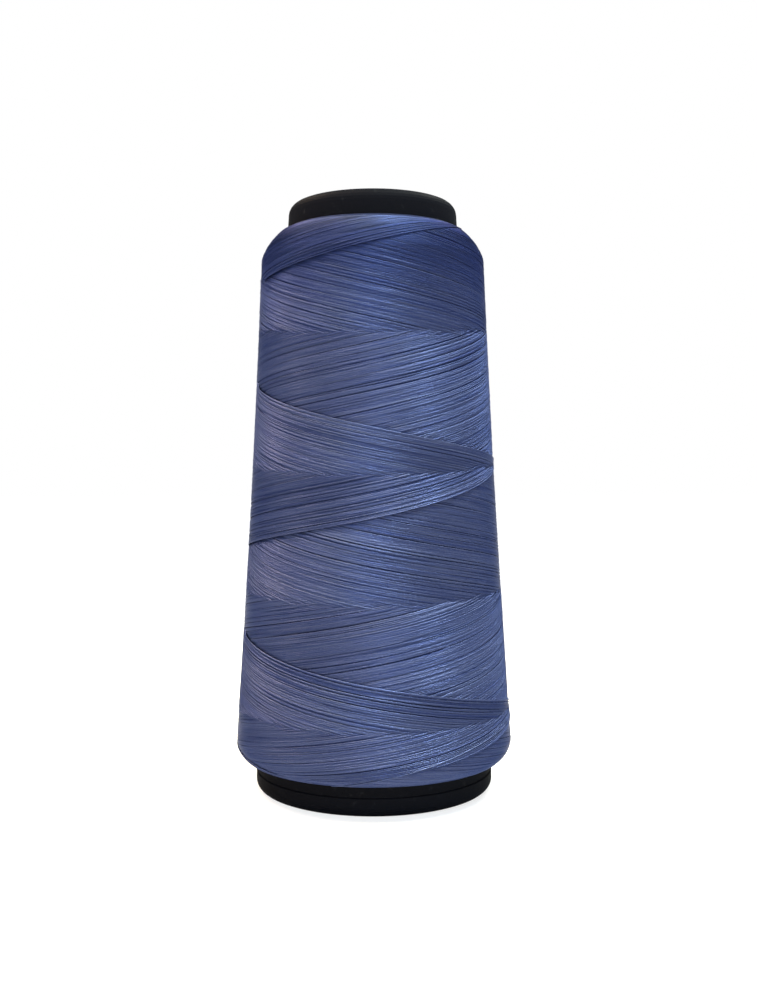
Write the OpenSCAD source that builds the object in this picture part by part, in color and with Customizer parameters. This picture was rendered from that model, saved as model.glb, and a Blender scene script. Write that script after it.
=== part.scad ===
// Cone of sewing thread: a moulded hollow cone with a cross-wound package of thread on it.
// The cone stands on its base at z = 0 and its axis is Z.

/* [Cone core] */
// Height of the moulded cone
cone_h = 170; // [120:1:220]
// Outside diameter of the nose, at the top of the taper
nose_d = 48.4; // [44:0.2:60]
// Angle between the cone's side and its axis
taper = 3.5; // [2:0.25:6]
// Thickness of the moulded wall
wall = 1.8; // [1:0.1:2.6]
// Diameter of the hole in the nose, which a spindle or a cone holder goes through
nose_hole_d = 40; // [30:0.5:41]
// Length of the cylindrical wall of the nose hole
lip_h = 3; // [1.5:0.1:6]
// Radius on the outer edge of the nose
nose_round = 3.5; // [1:0.1:4]
// Thickness of the lip that leads from the nose hole back to the wall
lip_rise = 1.6; // [0.8:0.1:4]

/* [Foot] */
// Height of the straight band round the bottom of the cone
foot_h = 5.6; // [4:0.1:6.5]
// Thickness of the foot, from the band inwards
foot_wall = 4.4; // [3.8:0.1:7]
// Height up to which the inside of the foot is straight
foot_inner_h = 7; // [3:0.1:14]
// Height of the slope from the foot's inside to the wall
foot_slope_h = 4; // [2:0.1:10]
// Radius on the outer bottom edge
foot_round = 2.8; // [0.5:0.1:3.2]
// Chamfer on the inner bottom edge
foot_chamfer = 0.5; // [0.2:0.1:1]

/* [Ribs and grip rings] */
// Number of stiffening ribs inside the cone
ribs = 8; // [3:1:16]
// Thickness of a rib
rib_t = 1.2; // [0.8:0.1:2]
// How far a rib stands in from the wall
rib_depth = 1.2; // [0.6:0.1:2.4]
// Height at which the ribs have run out into the wall
rib_top = 150; // [60:1:155]
// Number of low rings that keep the first turns of thread from slipping
grip_rings = 9; // [3:1:16]
// How far a grip ring stands out of the cone's side
grip_ring_h = 0.3; // [0.1:0.05:0.6]
// Width of a grip ring at its foot
grip_ring_w = 2.4; // [1:0.1:6]

/* [Thread package] */
// Bare height of the cone below the thread
bare_base = 8.4; // [6.6:0.1:20]
// Bare height of the cone above the thread
bare_nose = 7.5; // [6:0.1:20]
// Depth of thread over the cone at the base shoulder
depth_base = 6.7; // [4:0.1:30]
// Depth of thread over the cone at the nose shoulder
depth_nose = 7.1; // [4:0.1:30]
// Height of the rounded shoulder at the base end
base_shoulder_h = 6.6; // [3:0.1:20]
// Height of the steep shoulder at the nose end
nose_shoulder_h = 9.3; // [3:0.1:20]
// How far the side of the package is drawn in half way up
waist = 0.55; // [0:0.05:2]

/* [Outer winding] */
// Diameter of the strand of threads that lie together in the outermost turns
strand_d = 0.6; // [0.4:0.05:1.2]
// Strokes of the strand along the cone, up and down
strokes = 8; // [2:2:8]
// Turns round the cone in one stroke
turns_per_stroke = 2.875; // [0.875:1:2.875]
// Clearance where one strand crosses over another
crossing_gap = 0.45; // [0.42:0.01:0.8]
// Clearance between the strand and the package that it lies on
seat_gap = 0.05; // [0.02:0.01:0.2]

/* [Hidden] */

plastic_black = [0.10, 0.10, 0.12];
thread_blue = [0.31, 0.36, 0.52];
strand_blue = [0.43, 0.48, 0.64];

round_fn = 96;                // sides of a drawn circle
arc_steps = 6;                // points along a rounded edge
shoulder_steps = 8;           // points along a shoulder of the package
side_steps = 10;              // points along the side of the package
nose_fullness = 1.4;          // 1 is a straight slope and 2 a quarter ellipse
base_fullness = 2;

rings_per_loop = 24;          // cross sections in one turn of the strand
strand_sides = 6;
ring_angle = 360 / rings_per_loop;
chord = cos(ring_angle / 2);  // a chord's middle lies nearer to the axis by this factor
turn_sharpness = 0.99;        // 1 is a zigzag and lower values round its turning points
lay_change = 30;              // turn on each side of a turning point in which the strand changes lay
end_gap_angle = 15;           // turn left off at each end, which keeps the two ends apart
gap_samples = 8;              // points along a chord where the strand's gap to itself is measured

hole_r = nose_hole_d / 2;
base_r = cone_r(0);
nose_edge_r = min(nose_round, nose_d / 2 - hole_r - 0.3);
foot_inner_r = base_r - foot_wall;
wound_low = bare_base;
wound_high = cone_h - bare_nose;
side_low = wound_low + base_shoulder_h;
side_high = wound_high - nose_shoulder_h;
lip_under = cone_h - lip_h;

loops = strokes * turns_per_stroke;
stroke_angle = 360 * turns_per_stroke;

// ---- the cone's own outlines, as radius at a height ----

function cone_r(z) = nose_d / 2 + (cone_h - z) * tan(taper);
function inner_r(z) = cone_r(z) - wall;

// A rounded edge: points on an arc of radius r about a centre, from one angle to another
function arc(centre, r, from, to) =
    [for (i = [0:arc_steps]) let (a = from + (to - from) * i / arc_steps)
        centre + r * [cos(a), sin(a)]];

// The side of the cone between the two ends of the thread, with its grip rings
grip_pitch = (wound_high - wound_low) / grip_rings;
function grip_ring(z) = [
    [cone_r(z - grip_ring_w / 2), z - grip_ring_w / 2],
    [cone_r(z - grip_ring_w / 4) + grip_ring_h, z - grip_ring_w / 4],
    [cone_r(z + grip_ring_w / 4) + grip_ring_h, z + grip_ring_w / 4],
    [cone_r(z + grip_ring_w / 2), z + grip_ring_w / 2]];
wound_side = concat(
    [[cone_r(wound_low), wound_low]],
    [for (i = [0:grip_rings - 1]) each grip_ring(wound_low + (i + 0.5) * grip_pitch)],
    [[cone_r(wound_high), wound_high]]);

foot_ledge = base_r - cone_r(foot_h);
foot_outline = concat(
    arc([base_r - foot_round, foot_round], foot_round, -90, 0),
    [[base_r, foot_h - foot_ledge], [cone_r(foot_h), foot_h]]);

nose_outline = concat(
    arc([nose_d / 2 + nose_edge_r * (tan(taper) - 1 / cos(taper)), cone_h - nose_edge_r],
        nose_edge_r, taper, 90),
    [[hole_r, cone_h], [hole_r, lip_under]]);

inner_outline = [
    [inner_r(lip_under - lip_rise), lip_under - lip_rise],
    [inner_r(foot_inner_h + foot_slope_h), foot_inner_h + foot_slope_h],
    [foot_inner_r, foot_inner_h],
    [foot_inner_r, foot_chamfer],
    [foot_inner_r + foot_chamfer, 0]];

// ---- the package of thread ----

// Outer radius over the outermost strands, along the side between the two shoulders
function package_r(z) =
    let (u = (z - side_low) / (side_high - side_low))
    let (at_base = cone_r(side_low) + depth_base)
    let (at_nose = cone_r(side_high) + depth_nose)
    at_base + (at_nose - at_base) * u - waist * 4 * u * (1 - u);

// The two lays of strand lie one over the other, and the body of the package under both
function upper_lay_r(z) = package_r(z) - strand_d / 2;
function lower_lay_r(z) = upper_lay_r(z) - strand_d - crossing_gap;
function body_r(z) = lower_lay_r(z) * chord - strand_d / 2 - seat_gap;

// A shoulder is a quarter of a superellipse: u runs from the cone's side out to the package's side
function shoulder_out(u, fullness) = pow(1 - pow(1 - u, fullness), 1 / fullness);
function shoulder(z_end, z_side, fullness) =
    [for (i = [0:shoulder_steps - 1])
        let (u = pow(i / shoulder_steps, 2))
        let (out = shoulder_out(u, fullness))
        [cone_r(z_end) + (body_r(z_side) - cone_r(z_end)) * out, z_end + (z_side - z_end) * u]];

base_shoulder = shoulder(wound_low, side_low, base_fullness);
nose_shoulder = shoulder(wound_high, side_high, nose_fullness);
package_side = [for (i = [0:side_steps])
    let (z = side_low + (side_high - side_low) * i / side_steps)
    [body_r(z), z]];

// ---- the outer winding ----

// Height after a turn through the angle a: a zigzag between the shoulders with rounded turning points
function stroke_phase(a) = -90 + 180 * a / stroke_angle;
function strand_z(a) =
    (side_low + side_high) / 2 + (side_high - side_low - strand_d) / 2
        * asin(turn_sharpness * sin(stroke_phase(a))) / asin(turn_sharpness);

// 0 on the strokes up, in the lower lay, and 1 on the strokes down, in the upper lay
function lay(a) =
    let (steepness = 1 / sin(180 * lay_change / stroke_angle))
    0.5 - 0.5 * max(-1, min(1, steepness * cos(stroke_phase(a))));

function strand_r(a) =
    let (z = strand_z(a))
    lower_lay_r(z) + (upper_lay_r(z) - lower_lay_r(z)) * lay(a);
function on_circle(r, a, z) = [r * cos(a), r * sin(a), z];
function strand_point(a) = on_circle(strand_r(a), a, strand_z(a));
// Where an end of the strand goes in between the turns of the package
function strand_end(a) = on_circle(body_r(strand_z(a)) + seat_gap, a, strand_z(a));

first_angle = end_gap_angle;
last_angle = 360 * loops - end_gap_angle;
strand_angles = [for (a = [first_angle:ring_angle:last_angle]) a];
strand_path = [for (a = strand_angles) strand_point(a)];
tube_path = concat(
    [strand_end(strand_angles[0])],
    strand_path,
    [strand_end(strand_angles[len(strand_angles) - 1])]);

function unit(v) = v / norm(v);
function heading(path, i) = unit(path[min(i + 1, len(path) - 1)] - path[max(i - 1, 0)]);

// One cross section: a ring of points square to the path, with one side always facing along the cone
function section(path, i) =
    let (t = heading(path, i))
    let (j = max(1, min(i, len(path) - 2)))
    let (out = [path[j].x, path[j].y, 0])
    let (along = unit(cross(heading(path, j), out)))
    let (across = cross(along, t))
    [for (k = [0:strand_sides - 1]) let (b = 360 * k / strand_sides)
        path[i] + strand_d / 2 * (cos(b) * along + sin(b) * across)];

// A closed tube of triangles along a path
module tube(path) {
    n = strand_sides;
    last = (len(path) - 1) * n;
    points = [for (i = [0:len(path) - 1]) each section(path, i)];
    sides = [for (i = [0:len(path) - 2], k = [0:n - 1])
        let (a = i * n + k, b = i * n + (k + 1) % n)
        each [[a, b, b + n], [a, b + n, a + n]]];
    caps = [for (k = [1:n - 2]) each [[0, k + 1, k], [last, last + k, last + k + 1]]];
    polyhedron(points = points, faces = concat(sides, caps), convexity = 20);
}

// The least gap between two turns, measured between points along their chords in each sector
function chord_point(i, u) = strand_path[i] + u * (strand_path[i + 1] - strand_path[i]);
least_gap = min([
    for (sector = [0:rings_per_loop - 1])
    let (chords = [for (i = [sector:rings_per_loop:len(strand_path) - 2])
        [for (k = [0:gap_samples]) chord_point(i, k / gap_samples)]])
    for (m = [0:len(chords) - 1], n = [0:1:m - 1], p = chords[m], q = chords[n])
    norm(p - q)]) - strand_d;

// ---- the sub-parts ----

module rib() {
    z_low = foot_inner_h;
    embed = wall / 2;
    rotate([90, 0, 0])
        linear_extrude(height = rib_t, center = true)
            polygon([
                [inner_r(z_low) - rib_depth, z_low],
                [inner_r(z_low) + embed, z_low],
                [inner_r(rib_top) + embed, rib_top],
                [inner_r(rib_top), rib_top],
                [inner_r(rib_top - 2 * rib_depth) - rib_depth, rib_top - 2 * rib_depth]]);
}

module cone_core() {
    color(plastic_black) {
        rotate_extrude($fn = round_fn)
            polygon(concat(foot_outline, wound_side, nose_outline, inner_outline));
        for (i = [0:ribs - 1])
            rotate([0, 0, 360 * (i + 0.5) / ribs])
                rib();
    }
}

module thread_package() {
    color(thread_blue)
        rotate_extrude($fn = round_fn)
            polygon(concat(
                base_shoulder,
                package_side,
                [for (i = [len(nose_shoulder) - 1:-1:1]) nose_shoulder[i]],
                [for (i = [len(wound_side) - 1:-1:1]) wound_side[i]]));
}

module outer_winding() {
    echo(least_gap_of_the_strand_to_itself_mm = least_gap);
    color(strand_blue)
        tube(tube_path);
}

cone_core();
thread_package();
outer_winding();
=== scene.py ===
"""A cone of sewing thread: the wound strands, the body under them and the moulded black cone.

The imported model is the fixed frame. Lengths are metres, +Z is up, and -Y is the front.
"""

import math

import bpy
import numpy as np
from mathutils import Matrix, Vector


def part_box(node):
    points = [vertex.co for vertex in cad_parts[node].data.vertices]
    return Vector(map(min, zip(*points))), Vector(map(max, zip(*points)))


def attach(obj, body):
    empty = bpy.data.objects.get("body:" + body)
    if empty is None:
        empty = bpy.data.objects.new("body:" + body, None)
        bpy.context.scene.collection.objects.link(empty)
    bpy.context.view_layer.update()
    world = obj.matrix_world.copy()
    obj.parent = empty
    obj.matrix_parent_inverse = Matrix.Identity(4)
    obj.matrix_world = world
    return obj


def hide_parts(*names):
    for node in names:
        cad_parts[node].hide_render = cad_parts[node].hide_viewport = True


bl_info = {
    "name": "Thread Cone Finish",
    "version": (1, 0, 0),
    "blender": (4, 5, 0),
    "location": "View3D > Sidebar > Thread Cone",
    "description": "Winds the thread on a moulded cone, finishes the plastic and sets a plain studio",
    "category": "Object",
}

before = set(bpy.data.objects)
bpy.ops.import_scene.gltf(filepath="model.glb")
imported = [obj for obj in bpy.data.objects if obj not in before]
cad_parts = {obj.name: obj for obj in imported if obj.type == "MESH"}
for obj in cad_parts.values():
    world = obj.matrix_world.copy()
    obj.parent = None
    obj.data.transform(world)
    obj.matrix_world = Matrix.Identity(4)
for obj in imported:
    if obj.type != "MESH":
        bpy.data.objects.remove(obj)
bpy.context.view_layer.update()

MM = 0.001
BODY = "root"

CONE_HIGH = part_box("cone_core")[1]
WOUND_LOW, WOUND_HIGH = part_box("thread_package")
CONE_HEIGHT = CONE_HIGH.z
CONE_BASE_RADIUS = CONE_HIGH.x

MEAN_RADIUS = 36.0      # of the package, in mm, which makes a turn a length in the UV maps
MEAN_ROUND = 226.0      # way round the package, in mm, likewise
WOUND_MAP = "strand"    # UV map of a wound piece
TONE = "tone"           # attribute of a strand: 0 is dark and 1 light, with painted highlight and painted shade in it


# ---- sizes and colours that a user would change ----

def length(name, about, value, low=0.0):
    """A length in metres, given in millimetres."""
    return bpy.props.FloatProperty(
        name=name, description=about, default=value * MM, min=low, unit="LENGTH", precision=5)


def colour(name, about, value):
    """A colour as linear red, green and blue."""
    return bpy.props.FloatVectorProperty(
        name=name, description=about, default=value, min=0.0, max=1.0, size=3, subtype="COLOR")


def number(name, about, value, low=0.0, high=1000.0):
    """A plain number."""
    return bpy.props.FloatProperty(name=name, description=about, default=value, min=low, max=high)


def turn(name, about, value):
    """An angle, given in degrees."""
    return bpy.props.FloatProperty(
        name=name, description=about, default=math.radians(value), subtype="ANGLE")


class PackageSizes(bpy.types.PropertyGroup):
    """The outside of the wound package, over its outermost strands."""

    taper: turn("Taper", "Angle between the cone's side and its axis", 3.5)
    depth_base: length("Depth at base", "Depth of thread over the cone at the base shoulder", 6.7)
    depth_nose: length("Depth at nose", "Depth of thread over the cone at the nose shoulder", 7.1)
    base_shoulder: length("Base shoulder", "Height of the rounded shoulder at the base end", 6.6)
    nose_shoulder: length("Nose shoulder", "Height of the steep shoulder at the nose end", 9.3)
    base_fullness: number("Base fullness", "1 is a straight slope and 2 a quarter ellipse", 2.0)
    nose_fullness: number("Nose fullness", "1 is a straight slope and 2 a quarter ellipse", 1.4)
    waist: length("Waist", "How far the side is drawn in half way up", 0.55)


class WindingSizes(bpy.types.PropertyGroup):
    """The outermost layers of thread and the bands that they make."""

    thread: length("Thread", "Diameter of the thread", 0.25)
    strands: bpy.props.IntProperty(
        name="Strands", description="Strands side by side round the cone, each way",
        default=194, min=40, max=400)
    turns: number("Turns", "Turns of a strand from one end of the package to the other", 3.53)
    sharpness: number("Sharpness", "1 is a zigzag and less rounds its turning points", 0.985, 0.5, 1.0)
    edge_step: length("Edge step", "Height of the step where the newest strands lie", 0.32)
    sag: length("Sag", "How far the turns hang down at the front near the nose", 6.2)
    gap: number("Gap", "Widest gap between two groups of strands, in strands", 1.6)
    sunk: number("Sunk strands", "Share of the strands that lie between the others", 0.12, 0.0, 1.0)
    sunk_fresh: number("Sunk new strands", "The same share among the newest strands", 0.42, 0.0, 1.0)
    seed: bpy.props.IntProperty(name="Seed", description="Start of the random draws", default=7)


class ThreadFinish(bpy.types.PropertyGroup):
    """The dyed spun thread."""

    # The light colour is greyer than the dark: its flecks are partly the thread's own lighter tone and
    # partly a painted sheen of fibres catching the light
    light: colour("Light strands", "Thread where its fibres lie high", (0.0640, 0.0810, 0.168))
    dark: colour("Dark strands", "Thread where its fibres lie low", (0.0195, 0.0300, 0.102))
    # The deep colour is painted shade, for the thread deep between the strands and for the strands near
    # the nose
    shade: colour("Deep thread", "Thread deep between the strands", (0.0150, 0.0195, 0.044))
    roughness: number("Roughness", "Roughness of the strands", 0.36, 0.0, 1.0)


class PlasticFinish(bpy.types.PropertyGroup):
    """The black moulded cone."""

    black: colour("Black", "Colour of the moulding", (0.0036, 0.0040, 0.0062))
    worn: colour("Worn edge", "Colour of a rubbed edge", (0.014, 0.015, 0.019))
    roughness: number("Roughness", "Roughness of the moulding", 0.5, 0.0, 1.0)


class StudioSettings(bpy.types.PropertyGroup):
    """The camera's place and lens."""

    distance: length("Distance", "Distance of the camera from the cone's axis", 336.0)
    height: length("Height", "Height of the camera over the floor", 94.6)
    aside: length("Aside", "How far the camera stands to the right of the axis", 1.55)
    lens: bpy.props.FloatProperty(
        name="Lens", description="Focal length in millimetres", default=41.1, unit="CAMERA")
    tilt: turn("Tilt", "How far the camera looks down", 1.8)
    roll: turn("Roll", "How far the camera leans to the right", 0.16)


# ---- shader maths as expressions ----

class Value:
    """One output socket. Arithmetic on it adds Math nodes to its shader."""

    def __init__(self, shader, socket):
        self.shader = shader
        self.socket = socket

    def maths(self, operation, first, second):
        """A Math node on two values or numbers."""
        return self.shader.node(
            "ShaderNodeMath", {"operation": operation}, {0: first, 1: second})["Value"]

    def __add__(self, other):
        return self.maths("ADD", self, other)

    def __sub__(self, other):
        return self.maths("SUBTRACT", self, other)

    def __rsub__(self, other):
        return self.maths("SUBTRACT", other, self)

    def __mul__(self, other):
        return self.maths("MULTIPLY", self, other)

    __radd__ = __add__
    __rmul__ = __mul__


class Outputs:
    """The outputs of a node, each as a Value."""

    def __init__(self, shader, node):
        self.shader = shader
        self.node = node

    def __getitem__(self, name):
        return Value(self.shader, self.node.outputs[name])


class Shader:
    """A material or a world under construction."""

    def __init__(self, owner):
        owner.use_nodes = True
        self.owner = owner
        self.tree = owner.node_tree
        self.tree.nodes.clear()

    def node(self, kind, settings=None, values=None):
        """Adds a node: its settings first, and then its sockets' values or links."""
        made = self.tree.nodes.new(kind)
        for key, setting in (settings or {}).items():
            setattr(made, key, setting)
        for key, value in (values or {}).items():
            socket = made.inputs[key]
            if isinstance(value, Value):
                self.tree.links.new(value.socket, socket)
            elif socket.type in ("RGBA", "VECTOR") and len(value) != len(socket.default_value):
                socket.default_value = (*value, 1.0)
            else:
                socket.default_value = value
        return Outputs(self, made)

    def mix(self, factor, first, second):
        """A colour between two colours."""
        made = self.node("ShaderNodeMix", {"data_type": "RGBA"}, {0: factor, 6: first, 7: second})
        return Value(self, made.node.outputs[2])

    def sine(self, value):
        """The sine of an angle in radians."""
        return self.node("ShaderNodeMath", {"operation": "SINE"}, {0: value})["Value"]

    def limit(self, value):
        """A value kept between 0 and 1."""
        return self.node("ShaderNodeClamp", values={"Value": value})["Result"]

    def smooth(self, value, low, high):
        """0 below low, 1 above high and a smooth rise between."""
        made = self.node(
            "ShaderNodeMapRange", {"interpolation_type": "SMOOTHSTEP"},
            {"Value": value, "From Min": low, "From Max": high})
        return made["Result"]

    def noise(self, place, scale, detail=2.0):
        """Smooth noise around a half."""
        return self.node("ShaderNodeTexNoise", values={
            "Vector": place, "Scale": scale, "Detail": detail})["Fac"]

    def bump(self, height, distance, strength):
        """A relief: the height times the distance in metres, softened by the strength."""
        return self.node("ShaderNodeBump", values={
            "Height": height, "Distance": distance, "Strength": strength})["Normal"]

    def along_and_across(self):
        """The UV map of a wound piece: the length along it in mm, and its place across."""
        uv = self.node("ShaderNodeUVMap", {"uv_map": WOUND_MAP})["UV"]
        parts = self.node("ShaderNodeSeparateXYZ", values={"Vector": uv})
        return parts["X"], parts["Y"]

    def on_object(self):
        """The place on the object, in metres."""
        return self.node("ShaderNodeTexCoord")["Object"]

    def background_rays(self):
        """1 for the rays that see the plain background, and 0 for those that light the object."""
        rays = self.node("ShaderNodeLightPath")
        return self.limit(
            rays["Is Camera Ray"] + rays["Is Glossy Ray"] + rays["Is Transmission Ray"])

    def finish(self, surface):
        """Ends a material with a surface, and returns it."""
        self.node("ShaderNodeOutputMaterial", values={"Surface": surface})
        return self.owner


# ---- materials ----

STREAKS = (0.22, 1.7)           # scale of the streaks, per mm along a strand and per strand
FIBRES = (2.4, 3.0)             # scale of the flecks of fibre, likewise
STREAK_DEPTH, FIBRE_DEPTH = 0.7, 1.5    # how much each changes the tone
PLY_PITCH = 0.9                 # length in mm of one twist of the plies


def thread_material(finish):
    """Spun thread: each strand has its own tone, with streaks and flecks of fibre along it.

    A tone from 0 to 1 runs from the dark to the light colour, and one under 0 into the deep shade
    colour, which is painted shade. Besides its random part the tone holds a painted highlight on the
    edge strands and painted shade on sunk strands and near the nose.
    The relief is that of two twisted plies and of the fibres."""
    shader = Shader(bpy.data.materials.new("spun_thread"))
    length_mm, strand = shader.along_and_across()

    def grain(scale, detail):
        place = shader.node("ShaderNodeCombineXYZ", values={
            "X": length_mm * scale[0], "Y": strand * scale[1], "Z": 0.0})["Vector"]
        return shader.noise(place, 1.0, detail)

    streaks = grain(STREAKS, 2.0)
    fibres = grain(FIBRES, 3.0)
    tone = shader.node("ShaderNodeAttribute", {"attribute_name": TONE})["Fac"]
    tone = tone + (streaks - 0.5) * STREAK_DEPTH + (fibres - 0.5) * FIBRE_DEPTH
    # The dye's tone, with the painted highlight and painted shade that the tone holds
    dye_and_painted_light = shader.mix(shader.limit(tone), finish.dark, finish.light)
    ply = shader.sine(length_mm * (2 * math.pi / PLY_PITCH) + strand * (2 * math.pi))
    surface = shader.node("ShaderNodeBsdfPrincipled", values={
        # A tone under 0 mixes in the deep colour: painted shade
        "Base Color": shader.mix(shader.limit(0.0 - tone), dye_and_painted_light, finish.shade),
        "Roughness": finish.roughness,
        "Metallic": 0.86,
        "Specular IOR Level": 0.25,
        "Specular Tint": (0.36, 0.38, 0.46),
        "Normal": shader.bump(ply * 0.3 + fibres * 1.6, 0.022 * MM, 0.8)})["BSDF"]
    return shader.finish(surface)


def package_material(finish):
    """The layers under the strands, between the deep and the dark colour: painted shade deep between
    the strands, with the fine relief of crossing turns.
    """
    shader = Shader(bpy.data.materials.new("deep_thread_painted_shade"))
    length_mm, row = shader.along_and_across()
    lay = shader.sine(row * 22.0 + length_mm * 4.6)
    mottle = shader.noise(shader.on_object(), 900.0)
    surface = shader.node("ShaderNodeBsdfPrincipled", values={
        # Mottled between the deep colour and the dark one: painted shade between the strands
        "Base Color": shader.mix(mottle, finish.shade, finish.dark),
        "Roughness": 0.8,
        "Specular IOR Level": 0.08,
        "Normal": shader.bump(lay, 0.08 * MM, 0.8)})["BSDF"]
    return shader.finish(surface)


def plastic_material(finish):
    """Black moulded plastic: faintly grained, with rubbed edges and a soft gloss."""
    shader = Shader(bpy.data.materials.new("black_moulded_plastic"))
    place = shader.on_object()
    grain = shader.noise(place, 2600.0, 3.0)
    waves = shader.noise(place, 90.0, 2.0)
    scuffs = shader.smooth(shader.noise(place, 420.0, 4.0), 0.60, 0.78)
    surface = shader.node("ShaderNodeBsdfPrincipled", values={
        "Base Color": shader.mix(scuffs * 0.5, finish.black, finish.worn),
        "Roughness": scuffs * 0.12 + waves * 0.14 + (finish.roughness - 0.07),
        "IOR": 1.03,
        "Normal": shader.bump(grain * 0.4 + waves, 0.05 * MM, 0.35)})["BSDF"]
    return shader.finish(surface)


# ---- the shape of the package ----

def cone_radius(sizes, z):
    """Radius of the cone's side: it falls with the height by the tangent of the taper."""
    return CONE_BASE_RADIUS - z * math.tan(sizes.taper)


def shoulder_rise(share, fullness):
    """A quarter of a superellipse: 0 at the cone's side and 1 at the package's side."""
    share = np.clip(share, 0.0, 1.0)
    return (1 - (1 - share) ** fullness) ** (1 / fullness)


def package_radius(sizes, z):
    """Outer radius at a height: a straight side drawn in at the waist, between two shoulders."""
    low, high = WOUND_LOW.z, WOUND_HIGH.z
    side_low, side_high = low + sizes.base_shoulder, high - sizes.nose_shoulder
    at_base = cone_radius(sizes, side_low) + sizes.depth_base
    at_nose = cone_radius(sizes, side_high) + sizes.depth_nose
    share = np.clip((z - side_low) / (side_high - side_low), 0.0, 1.0)
    side = at_base + (at_nose - at_base) * share - sizes.waist * 4 * share * (1 - share)
    from_base = shoulder_rise((z - low) / sizes.base_shoulder, sizes.base_fullness)
    from_nose = shoulder_rise((high - z) / sizes.nose_shoulder, sizes.nose_fullness)
    out_base = cone_radius(sizes, low) + (at_base - cone_radius(sizes, low)) * from_base
    out_nose = cone_radius(sizes, high) + (at_nose - cone_radius(sizes, high)) * from_nose
    return np.where(z < side_low, out_base, np.where(z > side_high, out_nose, side))


class Stroke:
    """The height of a strand after a turn, from the turning point at the base to that at the nose.

    The height is a zigzag with rounded turning points: the arc sine of the sine of a phase that
    runs with the turn, with the sine made a little smaller by the sharpness."""

    END = 0.7 * MM      # from the end of the package to a turning point
    SAG_POWER = 1.3     # how the sag grows with the height
    SAG_END = 12        # and how late it ends, towards the nose

    def __init__(self, winding):
        self.low = WOUND_LOW.z + self.END
        self.high = WOUND_HIGH.z - self.END
        self.sharp = winding.sharpness
        self.whole = 360.0 * winding.turns
        self.sag = winding.sag

    def height(self, turned):
        """The height after a turn in degrees."""
        phase = np.radians(180.0 * turned / self.whole - 90.0)
        share = np.arcsin(self.sharp * np.sin(phase)) / math.asin(self.sharp)
        return (self.low + self.high) / 2 + (self.high - self.low) / 2 * share

    def sagged(self, height, angle):
        """The height with the sag: it is lower at the front and as much higher at the back.

        The sag goes with the cosine of the angle, with a power of the share of the height, and with
        one less a higher power of it."""
        share = (height - self.low) / (self.high - self.low)
        sag = self.sag * share ** self.SAG_POWER * (1 - share ** self.SAG_END)
        return height - sag * np.cos(angle)

    def turned(self, height):
        """The turn in degrees at a height, the other way round."""
        share = (height - (self.low + self.high) / 2) / ((self.high - self.low) / 2)
        phase = np.arcsin(np.clip(np.sin(share * math.asin(self.sharp)) / self.sharp, -1, 1))
        return self.whole * (np.degrees(phase) + 90.0) / 180.0


# ---- the bands, where the strands of one way lie over those of the other ----

FALLING, RISING = -1, 1
CIRCLES = (24.2, 58.7, 94.8, 133.9)     # heights in mm where the two ways change places level
# Edges of the newest strands: height in mm and angle of the turning point, and 1 up or -1 down
EDGES = ((9.7, -33.0, 1), (24.3, 97.0, 1), (94.8, 92.0, -1), (94.8, 98.5, 1), (147.0, -77.0, 1))
BORDERS = len(CIRCLES) + len(EDGES)
BLEND = 12.0                            # turn in which an edge swaps its way, in degrees

# Reaches in mm, measured up or down from a border
DIVE_FROM, DIVE_OVER = 0.25, 0.5        # where a crossing strand goes under
STEP_REACH = 6.0                        # the raised strands along an edge
SHOWN_PAST = 1.5                        # strands that are kept past the border, under the others
EDGE_REACH, FRESH_REACH = 0.35, 12.0    # the edge strand, and the newest strands
FAR = 1e4                               # further than any border


def wrapped(angle):
    """An angle between -180 and 180 degrees."""
    return (angle + 180.0) % 360.0 - 180.0


def eased(share):
    """A smooth rise from 0 to 1: three times the square less twice the cube."""
    return share * share * (3 - 2 * share)


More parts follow.
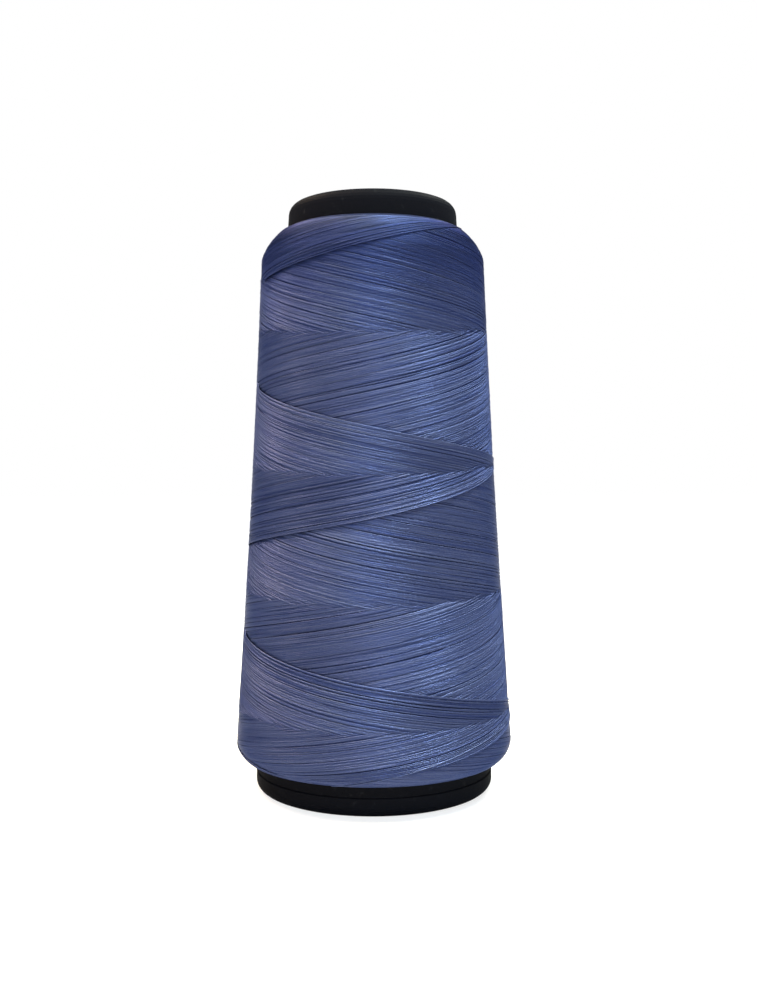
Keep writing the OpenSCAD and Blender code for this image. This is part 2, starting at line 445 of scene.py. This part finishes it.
class Bands:
    """The borders of the bands from the base up, as turn along a stroke, at an angle round the cone.

    Between two borders all strands on top go one way: falling bands are even, rising ones odd.
    A circle stays at its height. An edge runs along the strands of one way, and then of the other."""

    def __init__(self, stroke):
        self.circles = [float(stroke.turned(z * MM)) for z in CIRCLES]
        self.edges = [(float(stroke.turned(z * MM)), at, way) for z, at, way in EDGES]
        self.per_degree = (stroke.high - stroke.low) / stroke.whole

    def borders(self, angle):
        """The turns of the borders, and how far each runs along the rising strands, from -1 to 1.

        Edges and circles take turns from the base up. An edge's turn falls or rises evenly with the
        angle from its turning point. The lowest edge ends where it meets the circle over it, and the
        third value is 0 past that end, where the lowest band is shut, and 1 where it is open."""
        turns, ways = [], []
        for k in range(BORDERS):
            if k % 2:
                turns.append(np.full_like(angle, self.circles[k // 2]))
                ways.append(np.zeros_like(angle))
            else:
                start, at, way = self.edges[k // 2]
                off = wrapped(angle - at)
                turns.append(start + way * np.abs(off))
                near = np.minimum(np.abs(off), 180.0 - np.abs(off)) / BLEND
                ways.append(way * np.sign(off) * np.clip(near, 0.0, 1.0))
        turns[0] = np.minimum(turns[0], turns[1])
        opened = np.clip((turns[1] - turns[0]) * self.per_degree / MM, 0.0, 1.0)
        ways[0] = ways[0] * opened
        return np.stack(turns), np.stack(ways), opened

    def lie(self, angle, turned, way, unevenness):
        """Where a point of a strand lies, by its distance from the borders under and over it.

        Gives its band, its level over the surface in edge steps, how far it dives under at a
        border, whether it is shown, how far it is the edge strand and how new it is. What an edge
        does fades with the exponential of less the distance over a reach."""
        turns, ways, opened = self.borders(angle)
        above = turned > turns
        band = above.sum(0)
        own = (band % 2 == 1) == (way == RISING)
        rows = np.arange(BORDERS).reshape(-1, *([1] * angle.ndim))
        is_low, is_high = rows == band - 1, rows == band
        away = np.abs(turned - turns) * self.per_degree / MM
        low = np.where(is_low, away, FAR).min(0)
        high = np.where(is_high, away, FAR).min(0)
        low_way = np.where(is_low, ways, 0.0).sum(0) * way
        high_way = np.where(is_high, ways, 0.0).sum(0) * way
        lower_near = low < high
        nearest = np.minimum(low, high)
        near_way = np.where(lower_near, low_way, high_way)
        own_band = np.where(own, band, np.where(lower_near, band - 1, band + 1))

        def dive(inside, along):
            crossing = np.clip(1.0 - along, 0.0, 1.0)
            return crossing * eased(np.clip((DIVE_FROM - inside - unevenness) / DIVE_OVER, 0.0, 1.0))

        dived = np.where(own, np.maximum(dive(low, low_way), dive(high, high_way)),
                         dive(-nearest, near_way))
        at_lowest = (band == 0) | ((band == 2) & lower_near)
        dived = np.where(own & at_lowest, dived * opened, dived)

        def fading(reach):
            return low_way * np.exp(-low / reach), high_way * np.exp(-high / reach)

        level = 0.5 * np.where(own, np.add(*fading(STEP_REACH)), near_way)
        shown = own | (nearest < SHOWN_PAST * np.clip(1.0 - near_way, 0.0, 1.0))
        edge, fresh = (np.clip(np.maximum(*fading(reach)), 0, 1) for reach in (EDGE_REACH, FRESH_REACH))
        return own_band, level, dived, shown, np.where(own, edge, 0), fresh


# ---- the strands ----

TUBE_SIDES = 6          # sides of one strand of thread
TUBE_RADIUS = 0.54      # radius of a strand in threads: a little over half, so that strands touch
CAP = ((0, 1, 2, 3), (0, 3, 4, 5))      # the two quads that close the end of a strand
STRAND_STEP = 4.0       # turn between two cross sections of a strand, in degrees
END_TURN = 4.0          # turn from the turning points to the ends of a strand, in degrees
TUCK_TURN = 12.0        # turn over which the ends run in under the other strands, in degrees

GROUP = (2, 11)         # strands in a group that lies close together
BLOCK = 23              # strands over which the spacing keeps its mean
UNEVEN_SPACING = 0.10   # spread of the spacing of the strands, in strands
SPACING_LIMITS = (0.7, 1.3)             # of the spacing without a gap, in strands
GAP_CHANGE = 1.6        # 1 makes all widths of a gap as likely, and more makes narrow gaps likelier
SPACING_KNOTS = 75.0    # turn between two knots of the spacing, in degrees
LIE_KNOTS = 22.0        # turn between two knots of the other unevenness

# Depths in threads
TUCK_DEPTH = 1.5        # the ends of the strands
SUNK_DEPTH = 0.7        # a sunk strand
GROUP_DEPTH = 0.07      # the last strand of a group
EDGE_RISE = 0.2         # the edge strand, upwards

# Unevenness, as the part that is a strand's own and the part that changes along it
BORDER_UNEVEN = (0.45, 0.3)             # of where the strands dive at a border, in mm
CHANCE_UNEVEN = (0.0, 0.08)             # of the chance that a strand has sunk
DEPTH_UNEVEN = (0.05, 0.10)             # of the depth, in threads
TONE_UNEVEN = (0.12, 0.12)              # of the tone
SINKING = 0.06                          # change of the chance over which a strand sinks

# The tone of a strand, and what changes it
# A sunk strand is darker: painted shade where it lies between the others
# The edge strand is lighter: a painted highlight where it catches the light
PLAIN_TONE, EDGE_HIGHLIGHT_TONE, SUNK_SHADE_TONE = 0.55, 0.25, -0.2
NOSE_PAINTED_SHADE, NOSE_POWER = -1.5, 12        # painted shade on the tone towards the nose, with a power of the height


def knotted(table, turned, spacing):
    """Values that change smoothly along the strands: knots in a table's rows, eased between."""
    at = turned / spacing
    first = np.floor(at).astype(int)
    share = eased(at - first)
    return table[:, first] * (1 - share) + table[:, first + 1] * share


def strand_places(draw, winding, stroke):
    """The angle of each strand at each knot, in degrees, and whether a gap follows the strand.

    The angles are the running total of the spacings. The strands lie in groups with a gap after
    each. The gaps open and close along the strands, and the mean is kept over each block."""
    count = winding.strands
    sizes = draw.integers(GROUP[0], GROUP[1] + 1, count)
    ends = np.cumsum(sizes)
    last_in_group = np.zeros(count, bool)
    last_in_group[ends[ends < count] - 1] = True
    knots = int(stroke.whole / SPACING_KNOTS) + 3
    steps = 1.0 + UNEVEN_SPACING * draw.standard_normal((count, knots))
    opening = winding.gap * draw.random((count, knots)) ** GAP_CHANGE
    steps = np.clip(steps, *SPACING_LIMITS) + last_in_group[:, None] * opening
    for block in np.split(steps, np.arange(1, count // BLOCK) * BLOCK):
        block *= len(block) / block.sum(0)
    angles = np.cumsum(steps, 0) * 360.0 / count
    return angles, last_in_group


def strand_columns(package, winding, stroke, bands, way, draw):
    """The cross sections of all strands of one way, as arrays over (strand, turn).

    A strand's angle is its place round the cone plus or minus the turn, its height is the
    stroke's, and its radius is the package's less half a thread, changed by how it lies. Gives
    the centre lines, the bands, whether a point is shown, the tones and the turns."""
    count = winding.strands
    knots = int(stroke.whole / LIE_KNOTS) + 3
    turned = np.arange(END_TURN, stroke.whole - END_TURN, STRAND_STEP)

    def uneven(whole, changing):
        """Random values, with a part that is one strand's own and a part that changes along it."""
        own = whole * draw.standard_normal((count, 1))
        return knotted(own + changing * draw.standard_normal((count, knots)), turned, LIE_KNOTS)

    table, last_in_group = strand_places(draw, winding, stroke)
    place = knotted(table, turned, SPACING_KNOTS)
    even = np.arange(1, count + 1)[:, None] * 360.0 / count
    band, level, dived, shown, edge, fresh = bands.lie(
        wrapped(even + way * turned), turned[None, :] + 0 * even, way, uneven(*BORDER_UNEVEN))
    chance = draw.random((count, 1)) + uneven(*CHANCE_UNEVEN)
    share = winding.sunk + (winding.sunk_fresh - winding.sunk) * fresh
    sunk = np.clip((share - chance) / SINKING, 0, 1)
    angle = np.radians(place + way * turned)
    z = stroke.sagged(stroke.height(turned)[None, :], angle)
    tucked = 1 - np.clip(np.minimum(turned - turned[0], turned[-1] - turned) / TUCK_TURN, 0, 1)
    depth = (0.5 + SUNK_DEPTH * sunk * (1 - edge) + dived + GROUP_DEPTH * last_in_group[:, None]
             + TUCK_DEPTH * tucked - EDGE_RISE * edge - uneven(*DEPTH_UNEVEN))
    radius = package_radius(package, z) - winding.thread * depth + winding.edge_step * level
    near_nose = (z - stroke.low) / (stroke.high - stroke.low)
    # The tone: a random part, a painted highlight on the edge strand, painted shade on sunk strands and
    # painted shade towards the nose
    tone = (PLAIN_TONE + uneven(*TONE_UNEVEN) + EDGE_HIGHLIGHT_TONE * edge + SUNK_SHADE_TONE * sunk
            + NOSE_PAINTED_SHADE * near_nose ** NOSE_POWER)
    return on_package(radius, angle, z), band, shown, tone, turned


def on_package(radius, angle, z):
    """Points at a radius, an angle from the front in radians and a height."""
    return np.stack([radius * np.sin(angle), -radius * np.cos(angle), z], -1)


def tube_sections(package, centre, radius):
    """Rings of points round the strands: radius times a circle in the plane across the strand.

    Along is the strand's own direction, out is the package's normal, and side is square to both."""
    height = centre[..., 2]
    step = 0.05 * MM
    below, above = package_radius(package, height - step), package_radius(package, height + step)
    slope = np.clip((below - above) / (2 * step), -4, 4)
    along = np.gradient(centre, axis=1)
    along /= np.linalg.norm(along, axis=-1, keepdims=True)
    flat = centre * [1.0, 1.0, 0.0]
    flat /= np.linalg.norm(flat, axis=-1, keepdims=True)
    out = flat + slope[..., None] * [0.0, 0.0, 1.0]
    side = np.cross(along, out)
    side /= np.linalg.norm(side, axis=-1, keepdims=True)
    out = np.cross(side, along)
    round_it = np.arange(TUBE_SIDES) * 2 * math.pi / TUBE_SIDES
    return (centre[:, :, None, :]
            + radius * (np.cos(round_it)[:, None] * out[:, :, None, :]
                        + np.sin(round_it)[:, None] * side[:, :, None, :]))


def mesh_piece(name, points, quads, uv, tone=None):
    """A mesh of quads with smooth faces, a UV map for each corner and a tone for each point."""
    mesh = bpy.data.meshes.new(name)
    mesh.vertices.add(len(points))
    mesh.vertices.foreach_set("co", points.astype(np.float32).ravel())
    mesh.loops.add(quads.size)
    mesh.loops.foreach_set("vertex_index", quads.astype(np.int32).ravel())
    mesh.polygons.add(len(quads))
    mesh.polygons.foreach_set("loop_start", np.arange(0, quads.size, 4, dtype=np.int32))
    mesh.polygons.foreach_set("use_smooth", np.ones(len(quads), bool))
    mesh.update(calc_edges=True)
    layer = mesh.uv_layers.new(name=WOUND_MAP)
    layer.data.foreach_set("uv", uv.astype(np.float32).ravel())
    if tone is not None:
        values = mesh.attributes.new(TONE, "FLOAT", "POINT").data
        values.foreach_set("value", tone.astype(np.float32))
    mesh.validate()
    piece = bpy.data.objects.new(name, mesh)
    bpy.context.scene.collection.objects.link(piece)
    return piece


def strand_mesh(name, rings, tone, turned, chosen):
    """Closed tubes along the chosen stretches of the strands, between each ring and the next.

    A tube's side is a grid over (ring, side). U is the length in mm, and V the strand's number."""
    strands, columns = chosen.shape
    n = TUBE_SIDES
    strand, column = np.nonzero(chosen)
    ring_of = np.full((strands, columns + 1), -1)
    used = np.zeros((strands, columns + 1), bool)
    used[:, :-1] |= chosen
    used[:, 1:] |= chosen
    ring_of[used] = np.arange(used.sum())
    points = rings[:, :columns + 1][used].reshape(-1, 3)
    first = ring_of[strand, column][:, None] * n
    second = ring_of[strand, column + 1][:, None] * n
    k = np.arange(n)
    k_next = (k + 1) % n
    sides = np.stack([first + k, first + k_next, second + k_next, second + k], -1).reshape(-1, 4)
    along = np.radians(turned) * MEAN_RADIUS
    u0 = np.repeat(along[column], n)
    u1 = np.repeat(along[column + 1], n)
    v0 = np.repeat(strand * 1.0, n) + np.tile(k / n, len(strand))
    v1 = v0 + 1.0 / n
    side_uv = np.stack([np.stack([u0, v0], -1), np.stack([u0, v1], -1),
                        np.stack([u1, v1], -1), np.stack([u1, v0], -1)], 1)
    before = np.zeros_like(chosen)
    before[:, 1:] = chosen[:, :-1]
    after = np.zeros_like(chosen)
    after[:, :-1] = chosen[:, 1:]
    caps = []
    for at, shift, order in ((chosen & ~before, 0, (0, 3, 2, 1)), (chosen & ~after, 1, (0, 1, 2, 3))):
        s, c = np.nonzero(at)
        ring = ring_of[s, c + shift][:, None] * n
        caps += [ring + np.array(half)[list(order)] for half in CAP]
    caps = np.concatenate(caps)
    quads = np.concatenate([sides, caps])
    uv = np.concatenate([side_uv, np.zeros((len(caps), 4, 2))])
    tones = np.repeat(tone[:, :columns + 1][used], n)
    return mesh_piece(name, points, quads, uv, tones)


# The last turn of the thread, as (angle in degrees, height in mm)
LAST_TURN = ((102, 20.6), (82, 20.8), (62, 20.3), (51.6, 19.3), (37.7, 17.5), (25.5, 15.2),
             (15.9, 13.7), (6.8, 12.4), (-9.9, 9.8), (-18, 9.0))
LOOSE_SECTIONS = 80     # cross sections of the last turn
RUN_IN = 8.0            # cross sections over which its ends run in
RUN_DEPTH = 0.75        # depth of the two ends, in threads: the middle is one thread higher
LOOSE_RISE = 0.1        # how far it lies over the surface, in edge steps


def loose_strand(name, package, winding, route):
    """One strand on top of the others, along a smooth cubic through a route of (angle, height).

    Its two ends run in under its neighbours, on a quarter of a parabola."""
    route = np.array(route)
    angle = np.linspace(route[0, 0], route[-1, 0], LOOSE_SECTIONS)
    height = np.polyval(np.polyfit(route[:, 0], route[:, 1], 3), angle) * MM
    count = np.arange(LOOSE_SECTIONS)
    ends = np.clip(np.minimum(count, count[::-1]) / RUN_IN, 0, 1)
    lift = LOOSE_RISE * winding.edge_step + (ends * (2 - ends) - RUN_DEPTH) * winding.thread
    angle = np.radians(angle)
    centre = on_package(package_radius(package, height) + lift, angle, height)[None]
    rings = tube_sections(package, centre, winding.thread * 0.5)
    along = np.degrees(np.abs(angle - angle[0]))
    shown = np.ones((1, LOOSE_SECTIONS - 1), bool)
    # The last turn takes the lightest tone all along: a painted highlight on the strand that lies on
    # top
    return strand_mesh(name, rings, np.ones((1, LOOSE_SECTIONS)), along, shown)


def revolve(name, profile, steps):
    """A closed ring: an outline in (radius, height) turned round the axis, with its ends joined."""
    angle = np.arange(steps) * 2 * math.pi / steps
    points = np.stack([
        profile[:, None, 0] * np.cos(angle), profile[:, None, 0] * np.sin(angle),
        np.broadcast_to(profile[:, None, 1], (len(profile), steps))], -1).reshape(-1, 3)
    row = np.arange(len(profile))[:, None]
    column = np.arange(steps)[None, :]
    next_row, next_column = (row + 1) % len(profile), (column + 1) % steps
    quads = np.stack([row * steps + column, row * steps + next_column,
                      next_row * steps + next_column, next_row * steps + column], -1).reshape(-1, 4)
    turns = np.stack([column, column + 1, column + 1, column], -1) / steps * MEAN_ROUND
    rise = np.stack([row, row, row + 1, row + 1], -1)
    uv = np.stack([np.broadcast_to(turns, (len(profile), steps, 4)),
                   np.broadcast_to(rise, (len(profile), steps, 4))], -1).reshape(-1, 4, 2)
    return mesh_piece(name, points, quads, uv)


def settle(piece, slot, *nodes):
    """Makes a piece ride with the cone and stand for its nodes, which it hides. Its slot is not used.
    """
    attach(piece, BODY)
    if nodes:
        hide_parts(*nodes)


# ---- operators, one for each piece or group of like pieces, and one for the stage ----

class THREAD_OT_wind_strands(bpy.types.Operator):
    """Winds the outermost strands, one piece for each band of strands that lie one way"""

    bl_idname = "thread_cone.wind_strands"
    bl_label = "Wind strands"

    def execute(self, context):
        scene = context.scene
        package, winding = scene.package_sizes, scene.winding_sizes
        stroke = Stroke(winding)
        bands = Bands(stroke)
        draw = np.random.default_rng(winding.seed)
        material = thread_material(scene.thread_finish)
        pieces = []
        for way, word, lowest in ((RISING, "rising", 1), (FALLING, "falling", 0)):
            centre, band, shown, tone, turned = strand_columns(
                package, winding, stroke, bands, way, draw)
            rings = tube_sections(package, centre, winding.thread * TUBE_RADIUS)
            stretch = shown[:, :-1] & shown[:, 1:]
            for k in range(lowest, BORDERS + 1, 2):
                chosen = stretch & (band[:, :-1] == k)
                pieces.append(strand_mesh(f"{word}_band_{k}", rings, tone, turned, chosen))
        pieces.append(loose_strand("last_turn", package, winding, LAST_TURN))
        for piece in pieces:
            piece.data.materials.append(material)
            settle(piece, "thread")
        return {"FINISHED"}


class THREAD_OT_fill_package(bpy.types.Operator):
    """Makes the body of thread under the strands"""

    bl_idname = "thread_cone.fill_package"
    bl_label = "Fill package"

    UNDER = 0.62 * MM       # from the outside of the strands to the body
    INTO_CONE = 0.2 * MM    # how far the body goes into the cone
    ROWS, COLUMNS = 120, 180
    INNER_STEP = 12         # rows of the outside for one row of the inside

    def execute(self, context):
        scene = context.scene
        sizes = scene.package_sizes
        low, high = WOUND_LOW.z, WOUND_HIGH.z
        share = (1 - np.cos(np.linspace(0, math.pi, self.ROWS))) / 2
        z = low + (high - low) * share
        outside = package_radius(sizes, z)
        under = np.minimum(self.UNDER, (outside - cone_radius(sizes, z)) * 0.5)
        outer = np.stack([outside - under, z], -1)
        down = z[::-self.INNER_STEP]
        inner = np.stack([cone_radius(sizes, down) - self.INTO_CONE, down], -1)
        piece = revolve("package_body", np.concatenate([outer, inner]), self.COLUMNS)
        piece.data.materials.append(package_material(scene.thread_finish))
        settle(piece, "thread", "thread_package", "outer_winding")
        return {"FINISHED"}


class THREAD_OT_finish_cone(bpy.types.Operator):
    """Gives the moulded cone its black plastic"""

    bl_idname = "thread_cone.finish_cone"
    bl_label = "Finish cone"

    def execute(self, context):
        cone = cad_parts["cone_core"]
        cone.data.materials.clear()
        cone.data.materials.append(plastic_material(context.scene.plastic_finish))
        return {"FINISHED"}


def softbox(name, start, end, width, power, light):
    """A long lamp from one point to another, in metres and watts, turned to face the package."""
    start, end = Vector(start), Vector(end)
    middle = (start + end) / 2
    along = (end - start).normalized()
    across = (middle - Vector((0, 0, CONE_HEIGHT / 2))).cross(along).normalized()
    lamp = bpy.data.lights.new(name, "AREA")
    lamp.shape = "RECTANGLE"
    lamp.size = (end - start).length
    lamp.size_y = width
    lamp.energy = power
    lamp.color = light
    holder = bpy.data.objects.new(name, lamp)
    turned = Matrix((along, across, along.cross(across))).transposed()
    holder.matrix_world = Matrix.LocRotScale(middle, turned.to_quaternion(), None)
    bpy.context.scene.collection.objects.link(holder)


class THREAD_OT_set_studio(bpy.types.Operator):
    """Sets the floor, the lamps, the world and the camera"""

    bl_idname = "thread_cone.set_studio"
    bl_label = "Set studio"

    # name, start, end, width, power and colour
    LAMPS = (
        ("left_strip", (-1.02, -0.28, 2.90), (-1.44, 1.92, 1.95), 0.64, 126.0, (1.0, 0.74, 0.44)),
        ("left_back", (-1.60, 0.50, 2.52), (-1.90, 1.10, 2.04), 0.60, 78.0, (1.0, 0.66, 0.40)),
        ("left_softbox", (-1.44, -0.32, 2.74), (-0.80, -0.38, 2.96), 0.80, 50.0, (1.0, 0.82, 0.72)),
        ("top_softbox", (-0.70, -0.48, 3.02), (0.38, -0.48, 3.02), 0.80, 124.0, (1.0, 0.82, 0.42)),
        ("front_softbox", (-0.60, -2.00, 2.32), (0.60, -2.00, 2.32), 0.80, 46.0, (0.62, 0.82, 1.0)),
        ("right_softbox", (0.48, -0.32, 3.02), (1.02, -0.16, 2.90), 0.80, 152.0, (0.84, 1.0, 0.94)),
        ("right_strip", (1.02, -0.28, 2.90), (1.44, 1.92, 1.95), 0.64, 168.0, (0.96, 1.0, 0.84)),
    )

    def execute(self, context):
        scene = context.scene
        self.floor()
        self.world(scene)
        for lamp in self.LAMPS:
            softbox(*lamp)
        self.camera(scene)
        scene.view_settings.view_transform = "Standard"
        return {"FINISHED"}

    @staticmethod
    def floor():
        """A wide plate that looks white to the camera and still takes a faint shadow."""
        half = 3.0
        corners = [(-half, -half, 0), (half, -half, 0), (half, half, 0), (-half, half, 0)]
        mesh = bpy.data.meshes.new("floor")
        mesh.from_pydata(corners, [], [(0, 1, 2, 3)])
        floor = bpy.data.objects.new("floor", mesh)
        bpy.context.scene.collection.objects.link(floor)
        shader = Shader(bpy.data.materials.new("white_floor"))
        away = shader.node(
            "ShaderNodeVectorMath", {"operation": "LENGTH"}, {0: shader.on_object()})["Value"]
        plain = shader.smooth(away, 0.10, 0.50) * 0.35 + 0.65
        matt = shader.node("ShaderNodeBsdfDiffuse", values={"Color": (0.80, 0.80, 0.80)})
        glow = shader.node("ShaderNodeEmission", values={"Color": (1, 1, 1), "Strength": 1.2})
        both = shader.node("ShaderNodeMixShader", values={
            0: shader.background_rays() * plain, 1: matt["BSDF"], 2: glow["Emission"]})
        mesh.materials.append(shader.finish(both["Shader"]))

    @staticmethod
    def world(scene):
        """Soft light all round, and plain white where the camera sees it."""
        world = bpy.data.worlds.new("studio")
        scene.world = world
        shader = Shader(world)
        soft = shader.node("ShaderNodeBackground", values={"Color": (0.9, 0.95, 1.0), "Strength": 0.1})
        white = shader.node("ShaderNodeBackground", values={"Color": (1, 1, 1), "Strength": 1.0})
        both = shader.node("ShaderNodeMixShader", values={
            0: shader.background_rays(), 1: soft["Background"], 2: white["Background"]})
        shader.node("ShaderNodeOutputWorld", values={"Surface": both["Shader"]})

    @staticmethod
    def camera(scene):
        """A camera at the front, level but for its tilt and roll."""
        settings = scene.studio_settings
        lens = bpy.data.cameras.new("camera")
        lens.lens = settings.lens
        camera = bpy.data.objects.new("camera", lens)
        camera.location = (settings.aside, -settings.distance, settings.height)
        camera.rotation_euler = (math.pi / 2 - settings.tilt, settings.roll, 0)
        scene.collection.objects.link(camera)
        scene.camera = camera


class THREAD_PT_panel(bpy.types.Panel):
    """Lists the steps that dress the cone"""

    bl_label = "Thread Cone"
    bl_idname = "THREAD_PT_panel"
    bl_space_type = "VIEW_3D"
    bl_region_type = "UI"
    bl_category = "Thread Cone"

    def draw(self, context):
        for operator in OPERATORS:
            self.layout.operator(operator.bl_idname)
        for group in GROUPS:
            settings = getattr(context.scene, group)
            box = self.layout.box()
            for name in settings.__annotations__:
                box.prop(settings, name)


GROUPS = {
    "package_sizes": PackageSizes,
    "winding_sizes": WindingSizes,
    "thread_finish": ThreadFinish,
    "plastic_finish": PlasticFinish,
    "studio_settings": StudioSettings,
}
OPERATORS = (
    THREAD_OT_set_studio, THREAD_OT_wind_strands, THREAD_OT_fill_package, THREAD_OT_finish_cone)


def register():
    for kind in (*GROUPS.values(), *OPERATORS, THREAD_PT_panel):
        bpy.utils.register_class(kind)
    for name, kind in GROUPS.items():
        setattr(bpy.types.Scene, name, bpy.props.PointerProperty(type=kind))


def unregister():
    for name in GROUPS:
        delattr(bpy.types.Scene, name)
    for kind in reversed((*GROUPS.values(), *OPERATORS, THREAD_PT_panel)):
        bpy.utils.unregister_class(kind)


def main():
    register()
    bpy.ops.thread_cone.set_studio()
    bpy.ops.thread_cone.wind_strands()
    bpy.ops.thread_cone.fill_package()
    bpy.ops.thread_cone.finish_cone()


if __name__ == "__main__":
    main()
